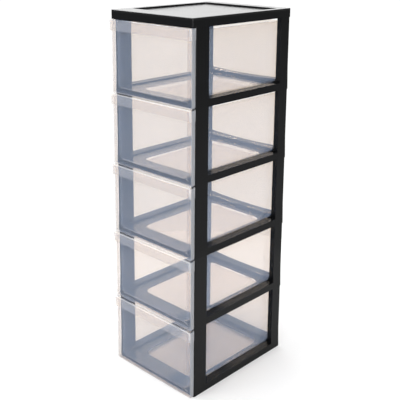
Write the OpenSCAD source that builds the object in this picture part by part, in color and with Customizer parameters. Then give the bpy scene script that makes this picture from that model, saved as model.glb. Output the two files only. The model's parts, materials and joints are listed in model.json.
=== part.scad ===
// Plastic drawer tower: stacking frames, one for each tier, a drawer in each, and a top cover.
// Millimetres. X runs across the front, the drawers pull out towards -Y, and Z is up.
// The origin is on the floor under the middle of the whole tower.

/* [Tower] */
// Number of tiers
tiers = 5; // [2:1:6]
// Height of one tier, from the foot of its frame to the foot of the next
tier_h = 191.5; // [150:0.5:260]
// Width of a frame at its foot
frame_w = 290; // [240:1:400]
// Depth of a frame at its foot
frame_d = 358; // [300:1:480]
// How far a drawer's front stands out before the frame
front_reach = 11; // [8:0.5:20]

/* [Frame] */
// Wall of the frame and of the cover
frame_wall = 2.2; // [1.6:0.1:3]
// How far the posts stand in from the foot, all round
step_in = 1; // [0.5:0.1:2]
// Height over which the foot flares out
flare_h = 60; // [30:1:90]
// Radius of the upright outer corners
corner_r = 4; // [2:0.5:6]
// Width of a post, seen from the front
post_w = 16; // [13:0.5:24]
// Depth of a front post
front_post_d = 45; // [30:1:60]
// Depth of a rear post
rear_post_d = 35.5; // [24:0.5:50]
// Radius of the front posts' upright edges
post_edge_r = 7; // [3:0.5:8]
// Radius of the rear posts' upright edges
rear_edge_r = 3; // [3:0.5:8]
// Height of the side rails
rail_h = 19; // [16:0.5:30]
// Height of the back rail, in its middle
back_rail_h = 23; // [18:0.5:32]
// How much higher the back rail is at its ends
rail_arch = 4; // [1:0.5:8]
// Width of the side and back rails, seen from above
rail_w = 26; // [20:0.5:32]
// Height of the ledge inside the rails, and of the plate between the front posts
ledge_h = 10; // [8:0.5:11]
// How far the ledge stands in from the side rails
ledge_w = 23; // [16:0.5:30]
// How far the ledge stands in from the back rail
back_ledge_w = 12; // [8:0.5:20]
// Depth of the plate between the front posts
plate_d = 46; // [30:1:60]
// Height of the sill along the plate's front edge, over which the drawer slides
sill_h = 4; // [2:0.5:5]
// Radius of the corners of the opening that ledge and plate leave
opening_r = 25; // [4:1:30]
// Thickness of a stiffening rib
rib_t = 1.6; // [1:0.1:2.5]
// Distance between stiffening ribs, at most
rib_pitch = 70; // [40:5:120]
// Height of the pegs on the posts
peg_h = 12; // [6:1:16]
// Gap round a peg in its socket
peg_gap = 0.3; // [0.1:0.05:0.6]

/* [Top cover] */
// Height of the cover
cover_h = 23.5; // [20:0.5:35]
// Radius of its top edges
cover_edge_r = 1.5; // [0.5:0.5:3]
// Depth of the tray in its top
tray_depth = 4; // [2:0.5:6]
// Radius of the tray's corners
tray_r = 7; // [3:1:12]
// Width of the border behind the tray
tray_back = 35; // [24:1:50]

/* [Drawer] */
// Wall of the drawer
drawer_wall = 2; // [1.4:0.1:3]
// Gap between the drawer and the sill and ledge that carry it
ride_gap = 0.3; // [0.2:0.05:1]
// Gap between the tub and the rails, at each side
tub_gap = 1.5; // [1:0.1:4]
// How far the tub leans out at each side, from bottom to top
draft = 8.5; // [1:0.5:12]
// Gap between the tub's back and the back rail
back_gap = 5; // [3:0.5:14]
// Gap between the tub's rim and the posts
rim_gap = 0.8; // [0.5:0.1:2]
// How far the rim stands out from the tub
rim_out = 1.2; // [0.8:0.1:2]
// Height of the rim's band
rim_h = 4; // [2:0.5:8]
// Distance from the tub's rim up to the next frame
rim_drop = 9; // [6:0.5:20]
// Radius of the tub's bottom edges
tub_foot_r = 5; // [3:0.5:6]
// Radius of the tub's upright rear corners, at the rim
tub_corner_r = 6; // [5:1:14]
// Gap below a drawer's front
front_foot = 0.5; // [0.5:0.5:3]
// Gap above a drawer's front
front_top_gap = 0.5; // [0.5:0.5:5]
// Gap between a closed drawer's front and the frame
seat_gap = 0.5; // [0.3:0.1:2]
// Radius of the front's corners
front_corner_r = 6; // [4:1:12]
// Radius of the front's edges
front_edge_r = 2.5; // [1:0.5:3.5]
// Height of the handle lip
lip_h = 28; // [18:1:40]
// How far the lip stands out from the front
lip_out = 7.5; // [6:0.5:14]
// How far the lip stands out at the sides of the front
lip_side = 1; // [0.5:0.5:2]
// Radius of the lip's top edge
lip_r = 3.5; // [2.5:0.5:5]
// Radius of the lip's bottom edge
lip_foot_r = 1.5; // [0.5:0.1:2]
// Radius of the lip's ends
lip_end_r = 6; // [4:0.5:8]
// How far the stops under the drawer's rear edge reach below the ledge
stop_h = 5; // [3:0.5:6]
// Width of a stop
stop_w = 20; // [10:1:40]
// Length of the feet that carry the drawer's rear end on the ledges
foot_l = 16; // [8:1:40]
// Width of a foot
foot_w = 10; // [6:1:14]

/* [Hidden] */
$fn = 48;
hull_fn = 24;                                  // facets round a hulled corner
arch_fn = 720;                                 // facets round the full circle of the back rail's arch
eps = 0.01;                                    // how far a cut runs past a face
half_w = frame_w / 2;
total_d = lip_out + front_reach + frame_d;
lip_y = -total_d / 2;                          // front of the handle lips
face_y = lip_y + lip_out;                      // front of the drawers and of the cover
ring_y = face_y + front_reach;                 // front of the frames
back_y = ring_y + frame_d;                     // back of the frames
post_x = half_w - step_in - post_w;            // inner side of the posts
front_post_y = ring_y + step_in + front_post_d; // rear side of the front posts
rear_post_y = back_y - step_in - rear_post_d;  // front side of the rear posts
rail_x = half_w - rail_w;                      // inner side of the side rails
rail_y = back_y - rail_w;                      // front side of the back rail
arch_r = (post_x * post_x + rail_arch * rail_arch) / (2 * rail_arch);
ledge_x = rail_x - ledge_w;
ledge_y = rail_y - back_ledge_w;
plate_y = ring_y + plate_d;                    // rear side of the front plate
tray_y = back_y - tray_back;                   // rear side of the cover's tray
cavity_x = half_w - step_in - frame_wall;      // inner face of the outer side walls
cavity_front_y = ring_y + step_in + frame_wall;
cavity_back_y = back_y - step_in - frame_wall;
rib_foot = 3;                                  // gap under the ribs
peg_wall = 1.8;
top_z = tiers * tier_h;                        // underside of the cover

tub_foot_x = rail_x - tub_gap;
rim_x = post_x - rim_gap;
tub_top_x = min(rim_x - rim_out, tub_foot_x + draft);
tub_y = rail_y - back_gap;                     // back of the tub
rim_y = tub_y + rim_out;
tub_z = ledge_h + sill_h + ride_gap;
tub_flat_y = tub_y - tub_foot_r;               // rear end of the tub's flat bottom
tub_top = tier_h - rim_drop;
front_top = tier_h - front_top_gap;
front_back_y = ring_y - seat_gap;              // rear edge of the front's returns
lip_foot = front_top - lip_h;
front_x = half_w - lip_side;                   // sides of the front
stop_x = tub_foot_x / 2;                       // middle of each stop
stop_y = min(tub_flat_y, ledge_y - 1) - stop_h; // front of the stops
foot_x = tub_foot_x - tub_foot_r;              // outer side of the feet

// Rectangle from (x0, y0) to (x1, y1) with round corners
module round_rect(x0, y0, x1, y1, r) {
    translate([x0 + r, y0]) square([x1 - x0 - 2 * r, y1 - y0]);
    translate([x0, y0 + r]) square([x1 - x0, y1 - y0 - 2 * r]);
    for (x = [x0 + r, x1 - r], y = [y0 + r, y1 - r]) translate([x, y]) circle(r);
}

// Box from one corner to the other
module block(low, high) {
    translate(low) cube(high - low);
}

// Runs a (Y, Z) outline along X
module along_x(x0, x1) {
    translate([x0, 0, 0]) rotate([90, 0, 90]) linear_extrude(x1 - x0) children();
}

// Runs an (X, Z) outline along Y
module along_y(y0, y1) {
    translate([0, y1, 0]) rotate([90, 0, 0]) linear_extrude(y1 - y0) children();
}

// Repeats its children at both sides
module both_sides() {
    for (side = [0, 1]) mirror([side, 0, 0]) children();
}

// Places of evenly spaced ribs strictly between two ends
function rib_places(from, to) =
    let (bays = max(1, ceil((to - from) / rib_pitch)))
    [for (i = [1:bays - 1]) from + (to - from) * i / bays];

// ---- frame ----

// Outline of the frame seen from above
module frame_plan(inset) {
    round_rect(-half_w + inset, ring_y + inset, half_w - inset, back_y - inset, corner_r);
}

// Outer form: a flared foot under straight sides
module frame_form() {
    hull() {
        linear_extrude(1, $fn = hull_fn) frame_plan(0);
        translate([0, 0, flare_h - 1]) linear_extrude(1, $fn = hull_fn) frame_plan(step_in);
    }
    translate([0, 0, flare_h - 1]) linear_extrude(tier_h - flare_h + 1, $fn = hull_fn) frame_plan(step_in);
}

// Plan of the front and rear posts of the right side, run past the frame's outer side and back
module post_plans() {
    round_rect(post_x, ring_y, half_w + post_edge_r, front_post_y, post_edge_r);
    round_rect(post_x, rear_post_y, half_w + rear_edge_r, back_y + rear_edge_r, rear_edge_r);
}

// Plan of the hollows of those posts, made smaller by inset. The pegs of the tier below go in here
module post_hollows(inset) {
    for (p = [[cavity_front_y, front_post_y - frame_wall, post_edge_r],
              [rear_post_y + frame_wall, cavity_back_y, rear_edge_r]])
        round_rect(post_x + frame_wall + inset, p[0] + inset, cavity_x - inset, p[1] - inset,
                   max(p[2] - frame_wall - inset, 0.2));
}

// Pegs on top of the right-hand posts
module pegs() {
    translate([0, 0, tier_h - eps]) linear_extrude(peg_h + eps) post_hollows(peg_gap);
}

// Space above the ring where the drawer stands, and the hole in its middle
module ring_opening() {
    block([-rail_x, ring_y - 1, ledge_h + sill_h], [rail_x, rail_y, rail_h + 1]);
    block([-rail_x, cavity_front_y, ledge_h], [rail_x, rail_y, rail_h + 1]);
    translate([0, 0, -1]) linear_extrude(ledge_h + 2)
        round_rect(-ledge_x, plate_y, ledge_x, ledge_y, opening_r);
}

// (X, Z) outline of the back rail up to its arched top, lowered by drop
module arch_profile(half, drop) {
    difference() {
        translate([-half, -1]) square([2 * half, back_rail_h + rail_arch + 2 - drop]);
        translate([0, back_rail_h - drop + arch_r]) circle(arch_r, $fn = arch_fn);
    }
}

// Hollow under the side rail, open below and run past the posts' inner sides
module side_channel() {
    block([rail_x + frame_wall, front_post_y, -1], [cavity_x, rear_post_y, rail_h - frame_wall]);
    block([rail_x + frame_wall, cavity_front_y, -1], [post_x, cavity_back_y, rail_h - frame_wall]);
}

// Hollow under the back rail
module back_channel() {
    along_y(rail_y + frame_wall, cavity_back_y) arch_profile(post_x, frame_wall);
}

// Hollow under the ledge, joined to those of the rails
module ledge_hollow() {
    block([-rail_x - frame_wall - eps, plate_y, -1],
          [rail_x + frame_wall + eps, rail_y + frame_wall + eps, ledge_h - frame_wall]);
}

// Hollow under the plate between the front posts
module front_channel() {
    block([-post_x, cavity_front_y, -1], [post_x, plate_y - frame_wall, ledge_h - frame_wall]);
}

// Ribs across the three channels and under the front plate
module frame_ribs() {
    both_sides()
        for (y = rib_places(front_post_y, rear_post_y))
            block([rail_x, y - rib_t / 2, rib_foot], [cavity_x + eps, y + rib_t / 2, rail_h - eps]);
    for (x = rib_places(-post_x, post_x))
        block([x - rib_t / 2, cavity_front_y - eps, rib_foot],
              [x + rib_t / 2, plate_y - eps, ledge_h - eps]);
    intersection() {
        along_y(rail_y, cavity_back_y + eps) arch_profile(post_x, eps);
        for (x = rib_places(-post_x, post_x))
            block([x - rib_t / 2, rail_y, rib_foot], [x + rib_t / 2, back_y, tier_h]);
    }
}

// One tier's frame, a single moulding
module frame(tier) {
    color([0.09, 0.09, 0.09]) translate([0, 0, (tier - 1) * tier_h]) {
        difference() {
            union() {
                intersection() {
                    frame_form();
                    union() {
                        block([-half_w - 1, ring_y - 1, 0], [half_w + 1, back_y + 1, rail_h]);
                        along_y(rail_y, back_y + 1) arch_profile(post_x + 1, 0);
                        both_sides() linear_extrude(tier_h) post_plans();
                    }
                }
                both_sides() pegs();
            }
            ring_opening();
            both_sides() side_channel();
            back_channel();
            ledge_hollow();
            front_channel();
            both_sides() {
                translate([0, 0, -1]) linear_extrude(tier_h - frame_wall + 1) post_hollows(0);
                translate([0, 0, -1]) linear_extrude(tier_h + peg_h - peg_wall + 1)
                    post_hollows(peg_gap + peg_wall);
            }
        }
        frame_ribs();
    }
}

// ---- top cover ----

// Outer block with round upright corners and round top edges
module cover_form() {
    intersection() {
        translate([0, 0, top_z]) linear_extrude(cover_h)
            round_rect(-half_w, face_y, half_w, back_y, corner_r);
        along_x(-half_w, half_w)
            round_rect(face_y, top_z - cover_h, back_y, top_z + cover_h, cover_edge_r);
        along_y(face_y, back_y)
            round_rect(-half_w, top_z - cover_h, half_w, top_z + cover_h, cover_edge_r);
    }
}

// Lid over the top tier, with a shallow tray in its top and sockets for the pegs below
module top_cover() {
    tray_z = top_z + cover_h - tray_depth;
    inner_z = top_z + cover_h - frame_wall;
    rib_z = top_z + rib_foot;
    color([0.09, 0.09, 0.09]) difference() {
        union() {
            difference() {
                cover_form();
                // tray
                translate([0, 0, tray_z]) linear_extrude(tray_depth + 1)
                    round_rect(-post_x, front_post_y, post_x, tray_y, tray_r);
                // hollow round the tray's underside
                difference() {
                    block([-half_w + frame_wall, face_y + frame_wall, top_z - 1],
                          [half_w - frame_wall, back_y - frame_wall, inner_z]);
                    translate([0, 0, tray_z - frame_wall]) linear_extrude(tray_depth + frame_wall)
                        round_rect(-post_x - frame_wall, front_post_y - frame_wall,
                                   post_x + frame_wall, tray_y + frame_wall, tray_r + frame_wall);
                }
            }
            // sockets that stand on the posts
            intersection() {
                both_sides() translate([0, 0, top_z]) linear_extrude(cover_h) post_plans();
                block([-cavity_x - frame_wall, ring_y + step_in, top_z],
                      [cavity_x + frame_wall, back_y - step_in, inner_z + eps]);
            }
            // ribs under the tray
            for (x = rib_places(-post_x, post_x))
                block([x - rib_t / 2, face_y + frame_wall - eps, rib_z],
                      [x + rib_t / 2, back_y - frame_wall + eps, tray_z - eps]);
            for (y = rib_places(front_post_y, rear_post_y))
                block([-half_w + frame_wall - eps, y - rib_t / 2, rib_z],
                      [half_w - frame_wall + eps, y + rib_t / 2, tray_z - eps]);
        }
        both_sides() translate([0, 0, top_z - 1]) linear_extrude(cover_h - frame_wall + 1) post_hollows(0);
    }
}

// ---- drawer ----

// Form of the tub, or of its hollow when inset is the wall, run forward past the front
module tub_form(inset, over) {
    front_end = lip_y - tub_corner_r;
    hull() both_sides() {
        for (y = [front_end, tub_flat_y])
            translate([tub_foot_x - tub_foot_r, y, tub_z + tub_foot_r])
                sphere(tub_foot_r - inset, $fn = hull_fn);
        for (y = [front_end, tub_y - tub_corner_r])
            translate([tub_top_x - tub_corner_r, y, tub_top - 1])
                cylinder(r = tub_corner_r - inset, h = 1 + over, $fn = hull_fn);
    }
}

// Band round the top of the tub, before its hollow is cut
module tub_rim() {
    translate([0, 0, tub_top - rim_h]) linear_extrude(rim_h)
        round_rect(-tub_top_x - rim_out, face_y, tub_top_x + rim_out, rim_y, tub_corner_r + rim_out);
}

// Tray-shaped front: a plate with returns all round. Its hollow is the same form, inset by the wall
module front_form(inset) {
    edge_r = max(front_edge_r - inset, 0.5);
    intersection() {
        along_y(face_y + inset, front_back_y + inset)
            round_rect(-front_x + inset, front_foot + inset, front_x - inset, front_top - inset,
                       front_corner_r - inset);
        along_x(-half_w, half_w)
            round_rect(face_y + inset, front_foot + inset, back_y, front_top - inset, edge_r);
        linear_extrude(tier_h)
            round_rect(-front_x + inset, face_y + inset, front_x - inset, back_y, edge_r);
    }
}

// Handle lip: a band that wraps over the top of the front and round its sides, down to the foot
module lip_form(inset, foot) {
    intersection() {
        along_x(-half_w, half_w) intersection() {
            round_rect(lip_y + inset, foot, back_y, tier_h, lip_foot_r);
            round_rect(lip_y + inset, foot - lip_r, back_y, front_top - inset, lip_r - inset);
        }
        linear_extrude(tier_h)
            round_rect(-half_w + inset, lip_y + inset, half_w - inset, back_y, lip_end_r - inset);
        block([-half_w, lip_y, foot], [half_w, front_back_y, front_top]);
    }
}

// Space for the fingertips, between the lip and the front, open below
module finger_gap() {
    intersection() {
        lip_form(drawer_wall, lip_foot - lip_r);
        block([-half_w, lip_y, front_foot], [half_w, face_y, front_top]);
    }
}

// Stops that catch the rear edge of the frame's front plate when the drawer is out
module stops() {
    both_sides() along_x(stop_x - stop_w / 2, stop_x + stop_w / 2)
        polygon([[stop_y, tub_z + 1], [stop_y, ledge_h - stop_h], [stop_y + 1.5, ledge_h - stop_h],
                 [stop_y + stop_h, tub_z + 1]]);
}

// Feet under the tub's rear corners, which slide along the ledges
module feet() {
    both_sides()
        block([foot_x - foot_w, tub_flat_y - foot_l, ledge_h + ride_gap],
              [foot_x, tub_flat_y, tub_z + 1]);
}

// One tier's drawer, a single moulding
module drawer(tier) {
    color([0.9, 0.87, 0.87, 0.5]) translate([0, 0, (tier - 1) * tier_h]) {
        difference() {
            union() {
                difference() {
                    union() {
                        front_form(0);
                        lip_form(0, lip_foot);
                    }
                    front_form(drawer_wall);
                    finger_gap();
                }
                intersection() {
                    union() {
                        tub_form(0, 0);
                        tub_rim();
                    }
                    block([-half_w, face_y + drawer_wall - eps, 0], [half_w, back_y, tub_top]);
                }
            }
            intersection() {
                tub_form(drawer_wall, 1);
                block([-half_w, face_y + drawer_wall, 0], [half_w, back_y, tub_top + 1]);
            }
        }
        stops();
        feet();
    }
}

top_cover();
for (t = [1:tiers]) {
    frame(t);
    drawer(t);
}
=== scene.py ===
"""Looks of the plastic drawer tower: black moulded frames and cover, see-through drawers, soft studio light.

Lengths are in metres, in the part's own frame: +Z up, -Y towards the front where the drawers pull out.
"""
import json
import math

import bmesh
import bpy
from mathutils import Euler, Matrix, Vector


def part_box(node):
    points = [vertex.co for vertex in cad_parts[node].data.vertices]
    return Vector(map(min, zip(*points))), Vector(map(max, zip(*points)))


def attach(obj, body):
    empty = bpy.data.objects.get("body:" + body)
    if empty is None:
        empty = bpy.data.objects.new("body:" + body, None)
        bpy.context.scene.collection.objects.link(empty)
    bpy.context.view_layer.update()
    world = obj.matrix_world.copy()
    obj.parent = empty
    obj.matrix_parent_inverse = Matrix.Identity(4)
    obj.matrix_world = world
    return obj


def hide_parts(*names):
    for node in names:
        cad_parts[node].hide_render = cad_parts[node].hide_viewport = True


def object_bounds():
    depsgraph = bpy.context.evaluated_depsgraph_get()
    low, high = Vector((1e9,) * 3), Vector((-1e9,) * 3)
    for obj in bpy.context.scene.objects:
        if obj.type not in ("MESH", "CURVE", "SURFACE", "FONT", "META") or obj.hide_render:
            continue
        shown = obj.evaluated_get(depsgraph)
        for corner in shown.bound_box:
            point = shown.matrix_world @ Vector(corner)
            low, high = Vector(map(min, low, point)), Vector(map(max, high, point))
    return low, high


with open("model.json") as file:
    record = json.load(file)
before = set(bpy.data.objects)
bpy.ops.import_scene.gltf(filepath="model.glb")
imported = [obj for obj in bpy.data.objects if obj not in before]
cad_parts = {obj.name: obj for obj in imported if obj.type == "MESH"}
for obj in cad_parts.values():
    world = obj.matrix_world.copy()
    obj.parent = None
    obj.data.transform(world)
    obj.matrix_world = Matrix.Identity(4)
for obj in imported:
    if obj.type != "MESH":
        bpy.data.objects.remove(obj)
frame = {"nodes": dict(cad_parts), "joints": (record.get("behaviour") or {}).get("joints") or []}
cad_low, cad_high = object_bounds()

TIERS = len(frame["joints"])                      # one drawer slides in each
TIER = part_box("frame_2")[0].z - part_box("frame_1")[0].z
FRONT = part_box("drawer_1")[0].y                   # the foremost edge of the drawers, on their handle lips
TOP = cad_high.z

# Camera: where it stands, which way it faces, and how the image is framed
IMAGE_PX = 400
SENSOR_MM = 36
FOCAL_PX = 742.18
CENTRE_PX = (191.506, 116.940)                    # where the optical axis meets the image
PLACE = Vector((1.31974, -1.39565, 1.16064))
AZIMUTH, ELEVATION, ROLL = math.radians(44.1068), math.radians(13.6464), math.radians(0.2877)
FAR = 50                                          # the camera sees no farther


def make_camera():
    """The camera at the viewing angle, with the shift that the framing needs."""
    data = bpy.data.cameras.new("camera")
    data.sensor_width = SENSOR_MM
    data.lens = FOCAL_PX / IMAGE_PX * SENSOR_MM
    data.shift_x = 0.5 - CENTRE_PX[0] / IMAGE_PX
    data.shift_y = CENTRE_PX[1] / IMAGE_PX - 0.5
    data.clip_end = FAR
    camera = bpy.data.objects.new("camera", data)
    bpy.context.scene.collection.objects.link(camera)
    turn = Euler((math.pi / 2 - ELEVATION, 0, AZIMUTH)).to_matrix() @ Matrix.Rotation(ROLL, 3, "Z")
    camera.matrix_world = Matrix.Translation(PLACE) @ turn.to_4x4()
    bpy.context.scene.camera = camera


# ---- short calls for node trees ----

class Tree:
    """A node tree with short calls for making and joining nodes."""

    def __init__(self, tree):
        self.tree = tree
        tree.nodes.clear()

    def add(self, kind, inputs=None, **settings):
        """Makes a node. An input is a plain value, or a socket that it is joined to."""
        node = self.tree.nodes.new(kind)
        for name, value in settings.items():
            setattr(node, name, value)
        for name, value in (inputs or {}).items():
            if isinstance(value, bpy.types.NodeSocket):
                self.tree.links.new(value, node.inputs[name])
            else:
                node.inputs[name].default_value = value
        return node

    def math(self, operation, a, b=None):
        """One step of arithmetic on one value or two."""
        inputs = {0: a} if b is None else {0: a, 1: b}
        return self.add("ShaderNodeMath", inputs, operation=operation).outputs[0]

    def between(self, value, low, high, from_low=0.0, from_high=1.0, smooth=False):
        """Maps value from one range to another."""
        node = self.add("ShaderNodeMapRange", {"Value": value, "From Min": from_low, "From Max": from_high,
                                               "To Min": low, "To Max": high},
                        interpolation_type="SMOOTHSTEP" if smooth else "LINEAR")
        return node.outputs[0]

    def above(self, value, edge, smooth=False):
        """A mask that goes from 0 to 1 as value crosses the edge, a pair of numbers."""
        return self.between(value, 0.0, 1.0, *edge, smooth=smooth)

    def below(self, value, edge, smooth=False):
        """A mask that goes from 1 to 0 as value crosses the edge, a pair of numbers."""
        return self.between(value, 1.0, 0.0, *edge, smooth=smooth)

    def both(self, a, b):
        """The part that two masks share."""
        return self.math("MULTIPLY", a, b)

    # A mix node takes its numbers at sockets 2 and 3, and its colours at 6 and 7

    def mix(self, factor, a, b):
        """Goes from value a to value b."""
        return self.add("ShaderNodeMix", {"Factor": factor, 2: a, 3: b}, data_type="FLOAT").outputs[0]

    def colours(self, factor, a, b):
        """Goes from colour a to colour b."""
        return self.add("ShaderNodeMix", {"Factor": factor, 6: a, 7: b}, data_type="RGBA").outputs[2]

    def noise(self, place, scale, detail=2.0):
        """Soft clouds between 0 and 1."""
        clouds = self.add("ShaderNodeTexNoise", {"Vector": place, "Scale": scale, "Detail": detail})
        return clouds.outputs["Fac"]

    def grain(self, place, scale, strength):
        """A normal with a fine moulded grain."""
        bump = self.add("ShaderNodeBump", {"Height": self.noise(place, scale), "Strength": strength,
                                           "Distance": GRAIN_DEPTH})
        return bump.outputs[0]


def new_material(name):
    """A material and the tree of its nodes."""
    material = bpy.data.materials.new(name)
    material.use_nodes = True
    return material, Tree(material.node_tree)


# ---- materials ----

GRAIN_DEPTH = 0.0002
BLACKS = (0.0050, 0.0054, 0.0060, 1), (0.0085, 0.0090, 0.0098, 1)     # mixed in soft clouds
BLACK_IOR = 1.36
SATIN = (TOP - 0.0055, TOP - 0.0045)              # the cover's tray and flat border lie above this


def black_plastic():
    """Glossy black moulded plastic with a faint unevenness, and a satin coat on the top of the cover."""
    material, tree = new_material("black_plastic")
    place = tree.add("ShaderNodeTexCoord").outputs["Object"]
    height = tree.add("ShaderNodeSeparateXYZ", {0: place}).outputs["Z"]
    cloud = tree.noise(place, scale=9.0, detail=3.0)
    skin = tree.add("ShaderNodeBsdfPrincipled", {
        "Base Color": tree.colours(cloud, *BLACKS),
        "Roughness": tree.between(cloud, 0.13, 0.19),
        "Normal": tree.grain(place, scale=900.0, strength=0.06),
        "IOR": BLACK_IOR,
        "Coat Weight": tree.above(height, SATIN),
        "Coat Roughness": 0.2,
        "Coat IOR": BLACK_IOR})
    tree.add("ShaderNodeOutputMaterial", {"Surface": skin.outputs[0]})
    return material


# Edges of a drawer's zones. Each fades from one number to the other. DEPTH is back from FRONT, HEIGHT is
# above the foot of the tier, and OUT is from the middle to either side.
LIP_DEPTH = (0.00675, 0.00775)
RETURN_DEPTH = (0.01825, 0.01925)
RETURN_OUT = (0.1405, 0.1425)
SEAM_HEIGHT = (0.1885, 0.1890)
CREST_DEPTH = (0.00255, 0.00295)
CLEAR_DEPTH = (0.01745, 0.01805)
FOOT_HEIGHT = (0.0030, 0.0034)
FOOT_DEPTH = (0.00925, 0.00965)

# The colour that each zone lets through, and that of the light it scatters
WALL_TINT, LIP_TINT = (0.890, 0.848, 0.795, 1), (0.84, 0.80, 0.745, 1)
RETURN_TINT, CLEAR_TINT = (0.72, 0.69, 0.66, 1), (0.97, 0.97, 0.97, 1)
WALL_HAZE = (0.100, 0.134, 0.196, 1), (0.114, 0.150, 0.216, 1)
LIP_HAZE, RETURN_HAZE = (0.175, 0.200, 0.250, 1), (0.36, 0.38, 0.41, 1)
# The crest's and the foot's white haze is a painted highlight: it paints the bright lines along each seam
# between fronts.
CLEAR_HAZE, CREST_PAINTED_HIGHLIGHT, FOOT_PAINTED_HIGHLIGHT = (0.03, 0.03, 0.03, 1), (0.42, 0.42, 0.42, 1), (0.38, 0.38, 0.40, 1)
HEAD_ON, AT_A_SLANT = 0.03, 0.9                   # how much the plastic mirrors


def drawer_plastic():
    """Thin see-through plastic: tinted see-through, a milky haze, painted highlight lines where fronts meet,
    and gloss that grows at a slant.
    """
    material, tree = new_material("drawer_plastic")
    place = tree.add("ShaderNodeTexCoord").outputs["Object"]
    x, y, z = tree.add("ShaderNodeSeparateXYZ", {0: place}).outputs
    out = tree.math("ABSOLUTE", x)
    depth = tree.math("SUBTRACT", y, FRONT)
    height = tree.math("MODULO", z, TIER)
    lip = tree.below(depth, LIP_DEPTH)
    side = tree.both(tree.above(out, RETURN_OUT), tree.below(depth, RETURN_DEPTH))
    # Where one front meets the next, the lip's crest and the front's foot are painted white as highlight
    # lines,
    #  and the top behind the crest is clear. The top drawer has no front above it.
    below_another = tree.math("LESS_THAN", z, (TIERS - 0.5) * TIER)
    seam = tree.both(tree.above(height, SEAM_HEIGHT), below_another)
    crest = tree.both(seam, tree.below(depth, CREST_DEPTH))
    behind = tree.both(seam, tree.both(tree.above(depth, CREST_DEPTH), tree.below(depth, CLEAR_DEPTH)))
    foot = tree.both(tree.below(height, FOOT_HEIGHT), tree.below(depth, FOOT_DEPTH))

    tint = tree.colours(lip, WALL_TINT, LIP_TINT)
    haze = tree.colours(lip, tree.colours(tree.noise(place, scale=6.0), *WALL_HAZE), LIP_HAZE)
    for zone, zone_tint in ((side, RETURN_TINT), (behind, CLEAR_TINT)):
        tint = tree.colours(zone, tint, zone_tint)
    # The crest and foot zones take a white haze, a painted highlight along each seam.
    for zone, zone_haze in ((side, RETURN_HAZE), (behind, CLEAR_HAZE),
                            (crest, CREST_PAINTED_HIGHLIGHT), (foot, FOOT_PAINTED_HIGHLIGHT)):
        haze = tree.colours(zone, haze, zone_haze)

    through = tree.add("ShaderNodeBsdfTransparent", {"Color": tint})
    near = tree.add("ShaderNodeBsdfDiffuse", {"Color": haze})
    far = tree.add("ShaderNodeBsdfTranslucent", {"Color": haze})
    milk = tree.add("ShaderNodeMixShader", {"Fac": 0.5, 1: near.outputs[0], 2: far.outputs[0]})
    body = tree.add("ShaderNodeAddShader", {0: through.outputs[0], 1: milk.outputs[0]})
    gloss = tree.add("ShaderNodeBsdfGlossy", {
        "Roughness": 0.10, "Color": (1, 1, 1, 1), "Normal": tree.grain(place, scale=700.0, strength=0.05)})
    # The fifth power is Schlick's rule: facing is 0 head on and 1 along the surface
    facing = tree.add("ShaderNodeLayerWeight", {"Blend": 0.5}).outputs["Facing"]
    shine = tree.between(tree.math("POWER", facing, 5.0), HEAD_ON, AT_A_SLANT)
    skin = tree.add("ShaderNodeMixShader", {"Fac": shine, 1: body.outputs[0], 2: gloss.outputs[0]})
    tree.add("ShaderNodeOutputMaterial", {"Surface": skin.outputs[0]})
    return material


def dress(pieces, material):
    """Gives the pieces this material and no other."""
    for piece in pieces:
        piece.data.materials.clear()
        piece.data.materials.append(material)


# ---- drawers ----

# The tub leans out over the side rails and, a little higher, over the back rail, so that its walls stand
# close behind the posts. Heights are above the foot of the tier.
SIDE_SHOULDER = (0.0196, 0.0226)                  # between these the sides step out
BACK_SHOULDER = (0.0276, 0.0312)
RIM_FOOT = 0.1785                                 # up here the sides are back where they were
SIDE_OUT = 0.0080
BACK_OUT = 0.0130
TUB_SIDE = (0.110, 0.1285)                        # the sides lie between these, out from the middle
TUB_FRONT, TUB_BACK = -0.179, 0.148
SHARP = math.radians(35)                          # an edge that turns by more is left sharp
WELD = 1e-6


def ramp(value, low, high):
    """0 below low, 1 above high and even between them."""
    return min(1.0, max(0.0, (value - low) / (high - low)))


def fuller_drawer(node, foot):
    """A drawer whose tub leans out over the rails. It stands for the CAD drawer and slides with it.

    foot is the height of the foot of its tier.
    """
    shape = bmesh.new()
    shape.from_mesh(node.data)
    bmesh.ops.remove_doubles(shape, verts=shape.verts, dist=WELD)
    for height in SIDE_SHOULDER + BACK_SHOULDER:
        bmesh.ops.bisect_plane(shape, geom=shape.verts[:] + shape.edges[:] + shape.faces[:], dist=WELD,
                               plane_co=(0, 0, foot + height), plane_no=(0, 0, 1))
    for point in shape.verts:
        x, y, height = point.co.x, point.co.y, point.co.z - foot
        if TUB_SIDE[0] < abs(x) < TUB_SIDE[1] and y > TUB_FRONT:
            fade = 1 - ramp(height, SIDE_SHOULDER[1], RIM_FOOT)
            point.co.x += math.copysign(SIDE_OUT * ramp(height, *SIDE_SHOULDER) * fade, x)
        if y > TUB_BACK:
            point.co.y += BACK_OUT * ramp(height, *BACK_SHOULDER)

    name = node.name + "_shell"
    mesh = bpy.data.meshes.new(name)
    shape.to_mesh(mesh)
    shape.free()
    mesh.shade_smooth()
    mesh.set_sharp_from_angle(angle=SHARP)
    piece = bpy.data.objects.new(name, mesh)
    bpy.context.scene.collection.objects.link(piece)
    normals = piece.modifiers.new("normals", "WEIGHTED_NORMAL")
    normals.weight = 100
    normals.keep_sharp = True
    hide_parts(node.name)
    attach(piece, node.name)
    return piece


# ---- floor and light ----

FLOOR_RADIUS = 0.9
FLOOR_CORNERS = 96
FLOOR_SEEN, FLOOR_THROWN = (0.93, 0.93, 0.93, 1), (0.45, 0.45, 0.45, 1)


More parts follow.
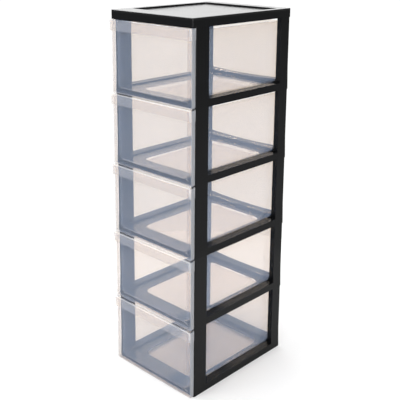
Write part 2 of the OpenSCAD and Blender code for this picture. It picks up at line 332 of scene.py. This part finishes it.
def pale_floor():
    """A round floor under and about the tower. It looks white to the camera, but throws back less light."""
    material, tree = new_material("floor")
    seen = tree.add("ShaderNodeLightPath").outputs["Is Camera Ray"]
    skin = tree.add("ShaderNodeBsdfDiffuse", {"Color": tree.colours(seen, FLOOR_THROWN, FLOOR_SEEN)})
    tree.add("ShaderNodeOutputMaterial", {"Surface": skin.outputs[0]})
    turns = [2 * math.pi * i / FLOOR_CORNERS for i in range(FLOOR_CORNERS)]
    mesh = bpy.data.meshes.new("floor")
    mesh.from_pydata([(FLOOR_RADIUS * math.cos(t), FLOOR_RADIUS * math.sin(t), 0) for t in turns], [],
                     [tuple(range(FLOOR_CORNERS))])
    mesh.materials.append(material)
    floor = bpy.data.objects.new("floor", mesh)
    bpy.context.scene.collection.objects.link(floor)


# The surround is white to the camera. Its light is darker to the right of the back and to the left of the
# front, darker below the horizon and brightest overhead. DARK_EDGE is measured along DARK_WAY. The other two
# edges are heights of a direction, from -1 for straight down to 1 for straight up.
DARK_WAY = (0.69, 0.724, 0.0)
BACKDROP = 1.06
SIDES, DARK, BELOW, ZENITH = 1.02, 0.2, 0.42, 1.7
DARK_EDGE = (0.35, 0.8)
HORIZON = (-0.35, -0.1)
OVERHEAD = (0.45, 0.85)


def studio():
    """A white surround whose light comes mostly from above and is darker to two sides."""
    world = bpy.data.worlds.new("studio")
    bpy.context.scene.world = world
    world.use_nodes = True
    tree = Tree(world.node_tree)
    way = tree.add("ShaderNodeTexCoord").outputs["Generated"]
    height = tree.add("ShaderNodeSeparateXYZ", {0: way}).outputs["Z"]
    along = tree.add("ShaderNodeVectorMath", {0: way, 1: DARK_WAY}, operation="DOT_PRODUCT").outputs["Value"]
    aside = tree.above(tree.math("ABSOLUTE", along), DARK_EDGE, smooth=True)
    level = tree.mix(aside, SIDES, DARK)
    level = tree.mix(tree.below(height, HORIZON, smooth=True), level, BELOW)
    level = tree.mix(tree.above(height, OVERHEAD, smooth=True), level, ZENITH)
    seen = tree.add("ShaderNodeLightPath").outputs["Is Camera Ray"]
    strength = tree.mix(seen, level, BACKDROP)
    glow = tree.add("ShaderNodeBackground", {"Color": (1, 1, 1, 1), "Strength": strength})
    tree.add("ShaderNodeOutputWorld", {"Surface": glow.outputs[0]})


def soft_box(name, place, aim, size, power):
    """A rectangular light that shows in reflections but not behind the object."""
    data = bpy.data.lights.new(name, "AREA")
    data.shape = "RECTANGLE"
    data.size, data.size_y = size
    data.energy = power
    lamp = bpy.data.objects.new(name, data)
    lamp.location = place
    lamp.rotation_euler = (Vector(aim) - Vector(place)).to_track_quat("-Z", "Y").to_euler()
    lamp.visible_camera = False
    bpy.context.scene.collection.objects.link(lamp)


make_camera()
drawers = [fuller_drawer(frame["nodes"][f"drawer_{tier}"], foot=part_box(f"frame_{tier}")[0].z)
           for tier in range(1, TIERS + 1)]
frames = [node for name, node in frame["nodes"].items() if not name.startswith("drawer_")]
dress(drawers, drawer_plastic())
dress(frames, black_plastic())
pale_floor()
studio()
soft_box("key", place=(-0.7, -2.2, 2.3), aim=(0, 0, 0.85), size=(1.2, 1.0), power=16)
soft_box("crest", place=(-1.1, -0.2, 2.0), aim=(0, -0.1, 0.6), size=(0.5, 0.5), power=6)
soft_box("camera_side", place=(1.7, -1.4, 0.7), aim=(0, 0, 0.5), size=(0.15, 1.2), power=5)
scene = bpy.context.scene
scene.view_settings.view_transform = "Standard"
scene.cycles.transparent_max_bounces = 48         # a look through the tower crosses many walls
